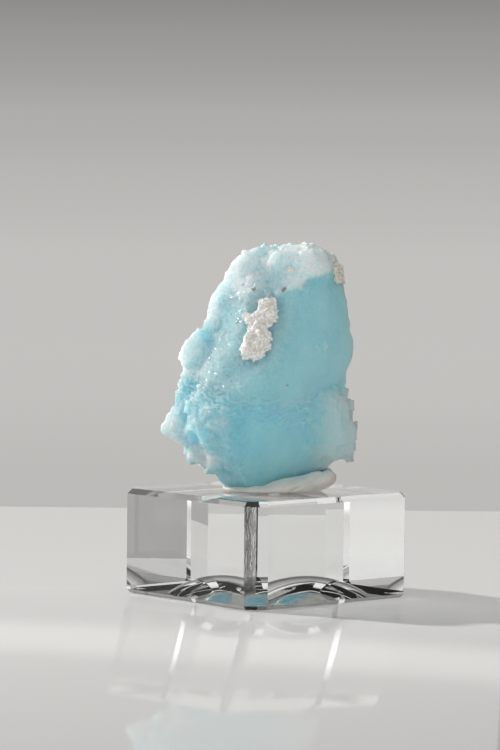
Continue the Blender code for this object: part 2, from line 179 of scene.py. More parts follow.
# Stepped blades standing out at the sides: outline across and up, and the span in depth
BLADES = (
    ([(-19.0, 48.2), (-21.7, 48.0), (-21.9, 44.4), (-22.8, 44.2), (-23.0, 42.4), (-23.9, 42.0),
      (-24.2, 40.2), (-25.0, 39.8), (-25.3, 38.4), (-24.2, 37.4), (-22.4, 37.2), (-22.0, 36.4),
      (-17.0, 36.2)], (-1.0, 2.6)),
    ([(-18.5, 46.0), (-20.6, 45.8), (-21.2, 42.6), (-22.6, 41.8), (-23.2, 39.2), (-18.0, 36.8)],
     (-2.6, -0.6)),
    ([(13.5, 50.2), (16.8, 49.5), (16.9, 47.3), (18.6, 47.1), (18.7, 45.6), (19.4, 45.4), (19.5, 41.2),
      (20.5, 41.0), (20.6, 39.4), (21.3, 39.2), (21.4, 36.6), (20.6, 36.4), (20.5, 34.2), (19.7, 33.2),
      (17.3, 33.0), (17.2, 32.0), (15.4, 31.8), (15.3, 31.0), (12.0, 30.6)], (0.2, 3.0)),
    ([(13.5, 47.5), (16.2, 46.2), (16.3, 44.0), (17.6, 43.8), (17.7, 39.5), (18.6, 39.2), (18.7, 35.6),
      (16.6, 35.4), (16.4, 33.6), (11.0, 32.2)], (-1.2, 1.2)),
    ([(-12.0, 67.6), (-13.7, 67.4), (-14.0, 65.2), (-15.2, 64.8), (-15.4, 63.0), (-17.4, 62.0),
      (-18.2, 60.8), (-19.6, 60.0), (-20.2, 58.4), (-20.6, 56.0), (-19.9, 53.8), (-15.0, 53.6)],
     (-0.8, 2.6)),
)

# Feldspar grains. Each row: the solid they grow on, the side they are seen from, seed, count,
# radii, and their outline across and up
GRAINS = (
    ("feldspar_cluster", "front", 31, 560, (0.20, 0.50), [
        (0.7, 70.8), (-1.6, 69.3), (-3.0, 66.0), (-5.4, 67.1), (-6.1, 66.0), (-4.4, 64.6), (-5.1, 61.5),
        (-6.5, 59.1), (-6.0, 56.2), (-3.9, 55.8), (-1.5, 56.5), (0.4, 58.9), (0.8, 62.0), (-0.1, 63.6),
        (2.0, 65.1), (2.2, 67.9)]),
    ("feldspar_bead", "front", 32, 8, (0.25, 0.4), [(4.5, 76.8), (5.7, 76.8), (5.7, 78.0), (4.5, 78.0)]),
    ("feldspar_edge_patch", "front", 33, 70, (0.35, 0.6), [
        (16.2, 74.0), (17.2, 74.4), (17.2, 78.0), (15.8, 79.0), (15.4, 77.0)]),
    ("feldspar_edge_patch", "right", 34, 110, (0.28, 0.5), [
        (-1.5, 74.6), (1.0, 73.9), (3.4, 73.9), (4.6, 75.3), (4.5, 77.3), (2.8, 78.2), (0.0, 78.2)]),
)

# Painted blue shade in the hollows between the lumps at the lower left, drawn as bluer, smoother foot skin:
# middle and radii
BLUE_SHADE_POCKETS = (
    ((-15.6, -6.0, 38.6), (4.4, 9.0, 2.6)),
    ((-5.0, -12.0, 35.5), (4.5, 9.0, 7.0)),
)


def ease(low, high, value):
    """Smooth step from 0 at low to 1 at high."""
    t = min(max((value - low) / (high - low), 0.0), 1.0)
    return t * t * (3.0 - 2.0 * t)


def along(line, value):
    """Read a line of (place, height) points at a place."""
    places, heights = zip(*line)
    return float(np.interp(value, places, heights))


def settled_mesh(obj):
    """The object's mesh with its modifiers worked in, as a bmesh."""
    depsgraph = bpy.context.evaluated_depsgraph_get()
    mesh = bpy.data.meshes.new_from_object(obj.evaluated_get(depsgraph))
    bm = bmesh.new()
    bm.from_mesh(mesh)
    bpy.data.meshes.remove(mesh)
    return bm


def new_piece(name, bm):
    """Turn a bmesh in metres into an object of the scene."""
    mesh = bpy.data.meshes.new(name)
    bm.to_mesh(mesh)
    bm.free()
    obj = bpy.data.objects.new(name, mesh)
    bpy.context.scene.collection.objects.link(obj)
    return obj


def add_remesh(obj, voxel):
    """Re-grid the object's skin evenly."""
    modifier = obj.modifiers.new("grid", "REMESH")
    modifier.mode = "VOXEL"
    modifier.voxel_size = voxel


def add_smooth(obj, rounds):
    """Soften the object's skin."""
    modifier = obj.modifiers.new("soften", "SMOOTH")
    modifier.factor = 0.5
    modifier.iterations = rounds


def fine_skin(node, first, rounds, second):
    """A node's solid as an even fine skin, in display-frame millimetres."""
    obj = bpy.data.objects.new("skin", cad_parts[node].data.copy())
    bpy.context.scene.collection.objects.link(obj)
    add_remesh(obj, first)
    add_smooth(obj, rounds)
    add_remesh(obj, second)
    add_smooth(obj, 2)
    bm = settled_mesh(obj)
    bpy.data.objects.remove(obj)
    bm.transform(TO_DISPLAY)
    bm.normal_update()
    return bm


def finish_piece(obj, nodes, material):
    """Give a piece its finish, and let it stand for its solids."""
    obj.data.materials.append(material)
    obj.data.shade_smooth()
    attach(obj, BODY)
    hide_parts(*nodes)
    return obj


def store_attribute(obj, name, values):
    """Keep one number for each point of the mesh, for its material to read."""
    layer = obj.data.attributes.new(name, "FLOAT", "POINT")
    layer.data.foreach_set("value", np.asarray(values, np.float32))


def cell_faces(point, size, height, slope):
    """Flat faces, each at its own height and slope, side by side like sugar."""
    place = point / size
    centre = noise.voronoi(place)[1][0]
    dice = noise.cell_vector(centre * 37.0)
    tilt = Vector((dice.y - 0.5, dice.z - 0.5, dice.x - 0.5)) * 2.0
    return height * (dice.x - 0.5) + slope * size * (place - centre).dot(tilt)


def steps_up(point, size):
    """Blocky upright steps of random depth."""
    return noise.cell(Vector(c / s for c, s in zip(point, size)))


def ledge_height(u):
    """Height of the ledge between the upper stone and its foot."""
    return LEDGE_LOW[1] + LEDGE_CURVE * (u - LEDGE_LOW[0]) ** 2


def skin_regions(point, normal):
    """Shares of smooth face, even skin, foot, wing and crust at a point of the skin."""
    u, _, z = point
    crust_edge = CRUST_EDGE_MIDDLE[1] + CRUST_EDGE_SLOPE * (u - CRUST_EDGE_MIDDLE[0])
    wobble = noise.noise(point / 3.0) * 0.8
    under_crust = 1.0 - ease(crust_edge - CRUST_EDGE_BLEND, crust_edge, z + wobble)
    patchy = noise.noise(point / 2.2) * 1.6 + noise.noise(point / 0.9) * 1.2
    past_ridge = u - along(RIDGE_LINE, z) + patchy
    on_front = under_crust * ease(-0.35, 0.1, -normal.y)
    smooth = ease(*RIDGE_BLEND, past_ridge) * on_front
    even = ease(*GRAIN_BLEND, past_ridge) * on_front
    # Painted shade: the blue hollows are drawn as foot colour and as smooth, unfrosted skin
    hollow = inside_any(point, BLUE_SHADE_POCKETS)
    smooth = max(smooth, 0.75 * hollow)
    ledge_line = ledge_height(u)
    foot = 1.0 - ease(ledge_line - LEDGE_BLEND, ledge_line + LEDGE_BLEND, z + wobble)
    wing = ease(*WING_SPAN_U, u + patchy * 0.9 + (38.0 - z) * 0.12) * (1.0 - ease(*WING_SPAN_Z, z))
    foot = max(foot, hollow)
    return smooth, even, foot, wing, 1.0 - under_crust


def ripples_at(point):
    """Height of the ripples that run along the ledge."""
    size, wander = RIPPLE_WANDER
    above = point.z - ledge_height(point.x)
    phase = above / RIPPLE_SPACING + noise.noise(point / size) * wander
    fade = 1.0 - ease(*RIPPLE_FADE, abs(above - RIPPLE_LINE))
    return math.sin(phase * math.tau) * RIPPLE_HEIGHT * fade


def crystal_relief(point, smooth, even, wing, crust):
    """How far the etched skin stands out of its form at a point, and its height for the painted shade and
    highlight.
    """
    sugar = sum(cell_faces(point, *face) for face in SUGAR_FACES)
    sugar *= max(1.0 - even, LEAST_SUGAR) * (1.0 - 0.75 * wing)
    streaks = noise.noise(Vector(c / size for c, size in zip(point, STREAK_SIZE))) * STREAK_HEIGHT
    dimples = sum(noise.noise(point / size) * height for size, height in DIMPLES)
    ripples = ripples_at(point) * (1.0 - wing)
    stairs = steps_up(point, STAIR_SIZE) * STAIR_HEIGHT * wing
    relief = sugar + (streaks + dimples) * smooth + ripples + stairs + CRUST_LIP * crust
    return relief, sugar + ripples * RIPPLE_PAINTED_SHADING


def inside_any(point, regions):
    """How far a point lies inside the ragged edges of any of the regions."""
    ragged = noise.noise(point / 1.6) * 0.30 + noise.noise(point / 4.0) * 0.25
    best = 0.0
    for middle, radii in regions:
        away = math.sqrt(sum(((p - m) / r) ** 2 for p, m, r in zip(point, middle, radii)))
        best = max(best, 1.0 - ease(0.35, 1.25, away + ragged))
    return best


def ridge_softness(point, normal):
    """How much the plain form is rounded at a point of the front."""
    front = ease(*RIDGE_FACING, -normal.y)
    left = along(RIDGE_LEFT, point.z)
    across = ease(left, left + RIDGE_WIDTH, point.x) * (1.0 - ease(*RIDGE_RIGHT, point.x))
    up = ease(*RIDGE_SPAN_Z, point.z) * (1.0 - ease(*RIDGE_TOP_Z, point.z))
    return front * across * up


def soften_ridge(bm):
    """Round the ridge, most where the front is smoothest."""
    bm.normal_update()
    softness = {v: ridge_softness(v.co, v.normal) for v in bm.verts}
    for step in range(RIDGE_ROUNDS):
        chosen = [v for v in bm.verts if softness[v] > step / RIDGE_ROUNDS]
        bmesh.ops.smooth_vert(
            bm, verts=chosen, factor=0.5, use_axis_x=True, use_axis_y=True, use_axis_z=True)


def seen_point(inward, across, up):
    """The point at a place across and up, for someone who looks along a direction."""
    if inward.z:
        return Vector((across, up, 0.0))
    return Vector((abs(inward.y) * across, abs(inward.x) * across, up))


def grow_crystals(bm, surface, growth):
    """Set small crystals on one side of the skin."""
    side, seed, count, across, up, sizes, reach, turn = growth
    dice = random.Random(seed)
    inward = SIDES[side]
    for _ in range(count):
        first = dice.uniform(*across)
        second = dice.uniform(*up)
        place = seen_point(inward, first, second)
        size = Vector([dice.uniform(*span) for span in sizes])
        angles = [dice.uniform(-turn, turn) for _ in range(3)]
        out = dice.uniform(*reach)
        seat, normal = surface.ray_cast(place - inward * OUTSIDE, inward)[:2]
        if seat is None:
            continue
        seat = seat - inward * out + inward * (size.z if side == "top" else size.y) / 2
        facing = math.atan2(normal.x, -normal.y) if side == "back" else 0.0
        matrix = (
            Matrix.Translation(seat)
            @ Euler((angles[0], angles[1], angles[2] + facing)).to_matrix().to_4x4()
            @ Matrix.Diagonal((*size, 1.0))
        )
        bmesh.ops.create_cube(bm, size=1.0, matrix=matrix)


def add_blade(bm, outline, span):
    """Stand a flat blade of the given outline in the stone's side."""
    near = [bm.verts.new((u, span[0], z)) for u, z in outline]
    face = bm.faces.new(near)
    far = bmesh.ops.extrude_face_region(bm, geom=[face])["geom"]
    moved = [part for part in far if isinstance(part, bmesh.types.BMVert)]
    bmesh.ops.translate(bm, vec=(0.0, span[1] - span[0], 0.0), verts=moved)


def crystal_form(settings):
    """The stone's solid, its ridge rounded and its small crystals fused on, in millimetres."""
    obj = bpy.data.objects.new("form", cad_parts["aquamarine_crystal"].data.copy())
    bpy.context.scene.collection.objects.link(obj)
    add_remesh(obj, settings.first_grid)
    add_smooth(obj, 1)
    bm = settled_mesh(obj)
    bpy.data.objects.remove(obj)
    bm.transform(TO_DISPLAY)
    soften_ridge(bm)
    surface = BVHTree.FromBMesh(bm)
    for growth in GROWTHS:
        grow_crystals(bm, surface, growth)
    for blade in BLADES:
        add_blade(bm, *blade)
    bmesh.ops.recalc_face_normals(bm, faces=bm.faces)
    bm.transform(FROM_DISPLAY)
    obj = new_piece("form", bm)
    add_remesh(obj, settings.fine_grid)
    add_smooth(obj, 1)
    bm = settled_mesh(obj)
    bpy.data.objects.remove(obj)
    bm.transform(TO_DISPLAY)
    bm.normal_update()
    return bm


def build_crystal(settings):
    """The aquamarine: fine etched skin over its solid."""
    bm = crystal_form(settings)
    moves = []
    shares = {"frost": [], "grain": [], "blue": [], "pale": [], "wing": [], "crust": [], "height": []}
    for vert in bm.verts:
        smooth, even, foot, wing, crust = skin_regions(vert.co, vert.normal)
        crust *= ease(*CRUST_START_U, vert.co.x) * ease(*CRUST_FACING, -vert.normal.y)
        relief, height = crystal_relief(vert.co, smooth, even, wing, crust)
        moves.append(vert.normal * relief)
        shares["frost"].append(1.0 - smooth)
        shares["grain"].append(1.0 - even)
        shares["blue"].append(foot)
        shares["pale"].append(inside_any(vert.co, PALE_GROWTHS))
        shares["wing"].append(wing)
        shares["crust"].append(crust)
        shares["height"].append(height)
    for vert, move in zip(bm.verts, moves):
        vert.co += move
    bm.transform(FROM_DISPLAY)
    obj = new_piece("aquamarine", bm)
    for name, values in shares.items():
        store_attribute(obj, name, values)
    material = crystal_material(settings)
    return finish_piece(obj, ["aquamarine_crystal"], material)


class Nodes:
    """A node tree, built one node at a time."""

    def __init__(self, tree):
        self.tree = tree

    def node(self, kind, **settings):
        """Add a node of a kind, with its settings."""
        made = self.tree.nodes.new(kind)
        for name, value in settings.items():
            setattr(made, name, value)
        return made

    def link(self, source, target):
        """Join an output to an input."""
        self.tree.links.new(source, target)

    def feed(self, socket, value):
        """Set a socket from a number, a colour or another node's output."""
        if isinstance(value, bpy.types.NodeSocket):
            self.link(value, socket)
        elif socket.type == "RGBA":
            socket.default_value = (*value[:3], 1.0)
        else:
            socket.default_value = value

    def math(self, operation, first, second):
        """Work out one number from two."""
        made = self.node("ShaderNodeMath", operation=operation)
        self.feed(made.inputs[0], first)
        self.feed(made.inputs[1], second)
        return made.outputs[0]

    def mix(self, share, first, second, blend="MIX"):
        """Mix two colours."""
        made = self.node("ShaderNodeMix", data_type="RGBA", blend_type=blend)
        self.feed(made.inputs[0], share)
        self.feed(made.inputs[6], first)
        self.feed(made.inputs[7], second)
        return made.outputs[2]

    def spread(self, value, low, high, start=0.0, end=1.0, curve="LINEAR"):
        """Bring a number from one span to another."""
        made = self.node("ShaderNodeMapRange", interpolation_type=curve)
        for socket, number in zip(made.inputs, (value, low, high, start, end)):
            self.feed(socket, number)
        return made.outputs[0]

    def between(self, share, first, second):
        """A number between two, by a share."""
        return self.spread(share, 0.0, 1.0, first, second)

    def scale(self, value, stops):
        """Read a tone off a scale of (place, tone) stops."""
        made = self.node("ShaderNodeValToRGB")
        self.feed(made.inputs[0], value)
        ramp = made.color_ramp
        ramp.interpolation = "EASE"
        ramp.elements.remove(ramp.elements[-1])
        for i, (place, tone) in enumerate(stops):
            element = ramp.elements[0] if i == 0 else ramp.elements.new(place)
            element.position = place
            element.color = (*tone, 1.0)
        return made.outputs[0]

    def display_parts(self, vector):
        """A vector's parts in the display frame: right, back and up."""
        turn = self.node("ShaderNodeVectorRotate", rotation_type="Z_AXIS")
        turn.inputs["Angle"].default_value = DISPLAY_TURN
        self.link(vector, turn.inputs["Vector"])
        split = self.node("ShaderNodeSeparateXYZ")
        self.link(turn.outputs[0], split.inputs[0])
        return split.outputs


class Finish(Nodes):
    """A material's node tree. Sizes are in metres."""

    def __init__(self, name):
        self.material = bpy.data.materials.new(name)
        self.material.use_nodes = True
        super().__init__(self.material.node_tree)
        self.shader = self.tree.nodes["Principled BSDF"]
        self.output = self.tree.nodes["Material Output"]

    def set(self, **values):
        """Set the shader's inputs by name."""
        for name, value in values.items():
            self.feed(self.shader.inputs[name.replace("_", " ")], value)

    def place(self):
        """The point's own place."""
        return self.node("ShaderNodeTexCoord").outputs["Object"]

    def attribute(self, name):
        """A number kept on the mesh."""
        return self.node("ShaderNodeAttribute", attribute_name=name).outputs["Fac"]

    def noise(self, size, detail=3.0, stretch=(1.0, 1.0, 1.0)):
        """Cloudy noise of a size."""
        made = self.node("ShaderNodeTexNoise")
        scaled = self.node("ShaderNodeMapping")
        scaled.inputs["Scale"].default_value = stretch
        self.link(self.place(), scaled.inputs["Vector"])
        self.link(scaled.outputs[0], made.inputs["Vector"])
        made.inputs["Scale"].default_value = 1.0 / size
        made.inputs["Detail"].default_value = detail
        return made.outputs["Fac"]

    def cells(self, size):
        """Grains of a size, with their place and a random colour for each."""
        made = self.node("ShaderNodeTexVoronoi")
        self.link(self.place(), made.inputs["Vector"])
        made.inputs["Scale"].default_value = 1.0 / size
        return made.outputs

    def vector(self, operation, first, second):
        """Work out one vector or number from two vectors."""
        made = self.node("ShaderNodeVectorMath", operation=operation)
        self.feed(made.inputs[0], first)
        self.feed(made.inputs[1], second)
        return made.outputs

    def facets(self, size):
        """Small flat faces tilted at random: their height, and a random number for each."""
        cell = self.cells(size)
        gap = self.vector("SUBTRACT", self.place(), cell["Position"])[0]
        lean = self.vector("SUBTRACT", cell["Color"], (0.5, 0.5, 0.5))[0]
        split = self.node("ShaderNodeSeparateColor")
        self.link(cell["Color"], split.inputs[0])
        return self.vector("DOT_PRODUCT", gap, lean)["Value"], split.outputs[0]

    def bump(self, height, distance, strength=1.0, under=None):
        """Raise the skin by a height, over another bump if one is given."""
        made = self.node("ShaderNodeBump")
        made.inputs["Distance"].default_value = distance
        self.feed(made.inputs["Strength"], strength)
        self.feed(made.inputs["Height"], height)
        if under:
            self.link(under, made.inputs["Normal"])
        return made.outputs["Normal"]


def crystal_colour(m, skin, settings):
    """The stone's colour, from its regions, clouds and specks, with painted shade in its hollows and
    painted highlights on its high points.
    """
    # The hollow tint darkens the random clouds and fine mottle, and paints shade into low points
    hollow = settings.shade_and_mottle_colour
    teal = m.mix(skin["blue"], settings.upper_colour, settings.foot_colour)
    drift = m.math("MULTIPLY", m.spread(m.noise(0.0045, 5.0, (1.0, 1.0, 0.5)), 0.35, 0.65), 0.42)
    teal = m.mix(drift, teal, hollow, "MULTIPLY")
    clouds = m.math("MULTIPLY", skin["frost"], m.spread(m.noise(0.006, 4.0), 0.3, 0.7, 0.35, 0.85))
    body = m.mix(clouds, teal, settings.frost_colour)
    body = m.mix(skin["crust"], body, settings.crust_colour)
    body = m.mix(skin["wing"], body, settings.wing_colour)
    body = m.mix(skin["pale"], body, settings.pale_colour)
    # Painted shade: low points of the relief are darkened by the hollow tint
    low = m.math("MULTIPLY", m.spread(skin["height"], 0.012, -0.07), m.between(skin["grain"], 0.40, 0.60))
    body = m.mix(low, body, hollow, "MULTIPLY")
    fine = m.spread(m.noise(0.0007, 3.0), 0.42, 0.60)
    body = m.mix(m.math("MULTIPLY", fine, m.between(skin["grain"], 0.18, 0.48)), body, hollow, "MULTIPLY")
    # Painted highlight: the highest points of the rough skin are whitened
    high = m.math("MULTIPLY", m.spread(skin["height"], 0.03, 0.11), m.between(skin["frost"], 0.0, 0.15))
    body = m.mix(high, body, settings.tip_highlight_colour)
    ragged = m.spread(m.noise(0.0005, 2.0), 0.3, 0.7, -0.0003, 0.0003)
    for place, size in speck_places():
        away = m.vector("DISTANCE", m.place(), FROM_DISPLAY @ Vector(place))["Value"]
        share = m.spread(m.math("ADD", away, ragged), size * MM, size * MM * 0.6, 0.0, 0.75)
        body = m.mix(share, body, settings.speck_colour)
    return body


def crystal_material(settings):
    """Frosted, see-through beryl: teal above, bluer at the foot, white where rough."""
    m = Finish("etched_aquamarine")
    names = ("frost", "grain", "blue", "pale", "wing", "crust", "height")
    skin = {name: m.attribute(name) for name in names}
    frost = skin["frost"]
    tilt, chance = m.facets(FACET)
    mirror = m.math("MULTIPLY", m.math("GREATER_THAN", chance, DULL_CHANCE), frost)
    cloudy = m.math("MULTIPLY", m.math("MAXIMUM", skin["pale"], skin["crust"]), 0.10)
    clear = m.math("SUBTRACT", m.between(frost, 0.20, 0.16), cloudy)
    clear = m.math("ADD", clear, m.math("MULTIPLY", skin["wing"], 0.02))
    skin_bump = m.bump(m.noise(0.0005, 4.0), 0.00018, m.between(skin["grain"], 0.45, 1.0))
    skin_bump = m.bump(tilt, 0.5, m.between(skin["grain"], 0.24, 0.6), skin_bump)
    streaks = m.noise(0.0012, 3.0, (1.0, 1.0, 0.12))
    skin_bump = m.bump(streaks, 0.0006, m.between(skin["wing"], 0.12, 0.9), skin_bump)
    m.set(
        Base_Color=crystal_colour(m, skin, settings),
        Transmission_Weight=clear,
        Roughness=m.between(mirror, 0.70, 0.16),
        IOR=BERYL_IOR,
        Specular_IOR_Level=0.2,
        Subsurface_Weight=m.between(frost, 1.0, 0.94),
        Subsurface_Scale=0.016,
        Subsurface_Radius=(0.55, 0.90, 1.0),
        Normal=skin_bump,
    )
    absorb = m.node("ShaderNodeVolumeAbsorption")
    m.feed(absorb.inputs["Color"], settings.depth_colour)
    m.feed(absorb.inputs["Density"], settings.depth_density)
    m.link(absorb.outputs[0], m.output.inputs["Volume"])
    return m.material


def speck_places():
    """Place and size of each small brown grain in the skin, in millimetres."""
    places = []
    skin = BVHTree.FromObject(bpy.data.objects["aquamarine"], bpy.context.evaluated_depsgraph_get())
    forward = FROM_DISPLAY.to_3x3() @ Vector((0.0, 1.0, 0.0))
    for u, z, size in SPECKS:
        seat = skin.ray_cast(FROM_DISPLAY @ Vector((u, -OUTSIDE, z)), forward.normalized())[0]
        places.append((TO_DISPLAY @ seat, size))
    return places


def build_feldspar(settings):
    """White feldspar: granular crusts seated on the crystal."""
    white = feldspar_material("granular_feldspar", settings.white, settings)
    cream = feldspar_material("cream_feldspar_crust", settings.cream, settings)
    pieces = (
        ("feldspar_patch", "feldspar_cluster", "white_feldspar", white),
        ("feldspar_knob", "feldspar_bead", "white_feldspar", white),
        ("feldspar_edge", "feldspar_edge_patch", "cream_feldspar", cream),
    )
    skin = BVHTree.FromObject(bpy.data.objects["aquamarine"], bpy.context.evaluated_depsgraph_get())
    for name, node, slot, material in pieces:
        bm = grain_crust(node, skin, settings)
        finish_piece(new_piece(name, bm), [node], material)


def grain_crust(node, skin, settings):
    """A node's solid with rounded grains grown out of it and round it, in metres."""
    bm = bmesh.new()
    bm.from_mesh(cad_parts[node].data)
    solid = BVHTree.FromBMesh(bm)
    bm.transform(TO_DISPLAY)
    for grown_on, side, *scatter in GRAINS:
        if grown_on == node:
            surfaces = (skin,) if side == "front" else (skin, solid)
            scatter_grains(bm, surfaces, SIDES[side], *scatter)
    bm.transform(FROM_DISPLAY)
    obj = new_piece("crust", bm)
    add_remesh(obj, settings.grid)
    add_smooth(obj, 1)
    bm = settled_mesh(obj)
    bpy.data.objects.remove(obj)
    bm.transform(TO_DISPLAY)
    bm.normal_update()
    pit_size, pit_depth, pit_level = PITS
    lump_size, lump_height = LUMPS
    for vert in bm.verts:
        pit = (pit_level - noise.voronoi(vert.co / pit_size)[0][0]) * pit_depth
        vert.co += vert.normal * (pit + noise.noise(vert.co / lump_size) * lump_height)
    bm.transform(FROM_DISPLAY)
    return bm


def scatter_grains(bm, surfaces, inward, seed, count, sizes, outline):
    """Set rounded grains on the nearest of the surfaces, within an outline."""
    dice = random.Random(seed)
    forward = (FROM_DISPLAY.to_3x3() @ inward).normalized()
    spans = [(min(values), max(values)) for values in zip(*outline)]
    grown = 0
    while grown < count:
        across, up = [dice.uniform(*span) for span in spans]
        if not inside_outline(across, up, outline):
            continue
        grown += 1
        size = dice.uniform(*sizes)
        start = FROM_DISPLAY @ (seen_point(inward, across, up) - inward * OUTSIDE)
        hits = [surface.ray_cast(start, forward) for surface in surfaces]
        seats = [(reach, seat) for seat, _, _, reach in hits if seat is not None]
        if not seats:
            continue
        seat = min(seats)[1]
        middle = TO_DISPLAY @ seat + inward * dice.uniform(-0.9, 0.1) * size
        bmesh.ops.create_icosphere(bm, subdivisions=2, radius=size, matrix=Matrix.Translation(middle))


def inside_outline(u, z, outline):
    """Whether a point lies inside a closed outline."""
    inside = False
    for (u1, z1), (u2, z2) in zip(outline, outline[1:] + outline[:1]):
        if (z1 > z) != (z2 > z) and u < u1 + (z - z1) / (z2 - z1) * (u2 - u1):
            inside = not inside
    return inside


def feldspar_material(name, colour, settings):
    """Matt, chalky grains with painted grey-green shade in the hollows between them."""
    m = Finish(name)
    # Painted shade: each grain darkens towards its edge, in the hollows between grains
    hollow = m.spread(m.cells(0.0006)["Distance"], 0.35, 0.75, 0.0, 0.8)
    stain = m.spread(m.noise(0.003, 3.0), 0.52, 0.70, 0.0, 0.5)
    tone = m.mix(stain, m.mix(hollow, colour, settings.hollow), settings.stain)
    m.set(
        Base_Color=tone,
        Roughness=m.spread(m.noise(0.0008), 0.3, 0.7, 0.55, 0.85),
        IOR=FELDSPAR_IOR,
        Subsurface_Weight=0.5,
        Subsurface_Scale=0.0008,
        Subsurface_Radius=(1.0, 0.95, 0.85),
        Normal=m.bump(m.noise(0.00035, 4.0), 0.0001),
    )
    return m.material


def build_putty(settings):
    """Pressed putty with a folded tongue at its right."""
    bm = fine_skin("mounting_putty", 0.0004, 3, settings.grid)
    for vert in bm.verts:
        u, _, z = vert.co
        crease = (u - CREASE_POINT[0]) * CREASE_SLOPE - (z - CREASE_POINT[1])
        fold = math.exp(-(crease / CREASE_WIDTH) ** 2) * ease(*CREASE_START, u)
        pressed = noise.noise(vert.co / 2.6) * 0.16 + noise.noise(vert.co / 0.9) * 0.04
        vert.co += vert.normal * (pressed - fold * CREASE_DEPTH)
        vert.co.z = max(vert.co.z, PUTTY_FOOT)
    bm.transform(FROM_DISPLAY)
    obj = new_piece("putty_pad", bm)
    return finish_piece(obj, ["mounting_putty"], putty_material(settings))


def putty_material(settings):
    """Warm grey-white putty with finger-smoothed sheen."""
    m = Finish("pressed_putty")
    mottle = m.spread(m.noise(0.004, 3.0), 0.35, 0.65)
    m.set(
        Base_Color=m.mix(mottle, settings.colour, settings.shade),
        Roughness=m.spread(m.noise(0.0015), 0.3, 0.7, 0.42, 0.62),
        Subsurface_Weight=0.4,
        Subsurface_Scale=0.001,
        Normal=m.bump(m.noise(0.0009, 3.0), 0.00008),
    )
    return m.material


def build_block(settings):
    """Glass block with cut corners, polished bevels and a scoop in its underside."""
    low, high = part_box("glass_base")
    size = high - low
    bm = bmesh.new()
    bmesh.ops.create_cube(bm, size=1.0)
    bmesh.ops.scale(bm, vec=size, verts=bm.verts)
    bmesh.ops.translate(bm, vec=(low + high) / 2, verts=bm.verts)
    upright = [e for e in bm.edges if abs(e.verts[0].co.z - e.verts[1].co.z) > size.z / 2]
    bmesh.ops.bevel(bm, geom=upright, offset=settings.corner_cut, segments=1, affect="EDGES", profile=0.5)
    for height, width in ((high.z, settings.top_bevel), (low.z, settings.foot_bevel)):
        rim = [e for e in bm.edges if all(abs(v.co.z - height) < 1e-7 for v in e.verts)]
        bmesh.ops.bevel(bm, geom=rim, offset=width, segments=1, affect="EDGES", profile=0.5)
    block = new_piece("glass_block", bm)
    scoop = scoop_cutter(settings)
    cut = block.modifiers.new("scoop", "BOOLEAN")
    cut.operation = "DIFFERENCE"
    cut.solver = "EXACT"
    cut.object = scoop
    bm = settled_mesh(block)
    bpy.data.objects.remove(block)
    bpy.data.objects.remove(scoop)
    block = new_piece("glass_block", bm)
    finish_piece(block, ["glass_base"], glass_material(settings))
    block.data.set_sharp_from_angle(angle=math.radians(12.0))
    front_cut = -0.95 * size.x / math.sqrt(2.0) / MM + settings.corner_cut / MM
    ground = [1.0 if (TO_DISPLAY @ f.center).y < front_cut and abs(f.normal.z) < 0.1
              and max(abs(f.normal.x), abs(f.normal.y)) < 0.9 else 0.0 for f in block.data.polygons]
    layer = block.data.attributes.new("ground", "FLOAT", "FACE")
    layer.data.foreach_set("value", ground)
    return block


def scoop_cutter(settings):
    """The cap of a large ball, carried on below the underside."""
    depth = settings.scoop_depth
    ball = (settings.scoop_radius ** 2 + depth ** 2) / (2 * depth)
    middle = depth - ball
    overrun = 0.001
    edge_angle = math.acos((-overrun - middle) / ball)
    rings = 48
    sides = 192
    bm = bmesh.new()
    profile = [bm.verts.new((0.0, 0.0, depth))]
    for ring in range(1, rings + 1):
        angle = edge_angle * ring / rings
        profile.append(bm.verts.new((ball * math.sin(angle), 0.0, middle + ball * math.cos(angle))))
    profile.append(bm.verts.new((0.0, 0.0, -overrun)))
    edges = [bm.edges.new(pair) for pair in zip(profile, profile[1:])]
    bmesh.ops.spin(bm, geom=profile + edges, axis=(0.0, 0.0, 1.0), cent=(0.0, 0.0, 0.0),
                   angle=math.tau, steps=sides, use_merge=True)
    bmesh.ops.remove_doubles(bm, verts=bm.verts, dist=1e-7)
    bmesh.ops.recalc_face_normals(bm, faces=bm.faces)
    shift = Vector((math.cos(DISPLAY_TURN), -math.sin(DISPLAY_TURN), 0.0)) * settings.scoop_offset
    bmesh.ops.translate(bm, vec=shift, verts=bm.verts)
    return new_piece("scoop_cutter", bm)


def glass_material(settings):
    """Clear glass, polished all over but for the rippled half of the corner cut in front."""
    m = Finish("polished_glass")
    rippled_side = m.math("LESS_THAN", m.display_parts(m.place())["X"], settings.ripple_end)
    ground = m.math("MULTIPLY", m.attribute("ground"), rippled_side)
    m.set(
        Base_Color=settings.colour,
        Transmission_Weight=1.0,
        IOR=GLASS_IOR,
        Roughness=m.between(ground, 0.0, 0.20),
        Normal=m.bump(m.noise(0.0009, 3.0, (1.0, 1.0, 0.25)), 0.00014, ground),
    )
    return m.material


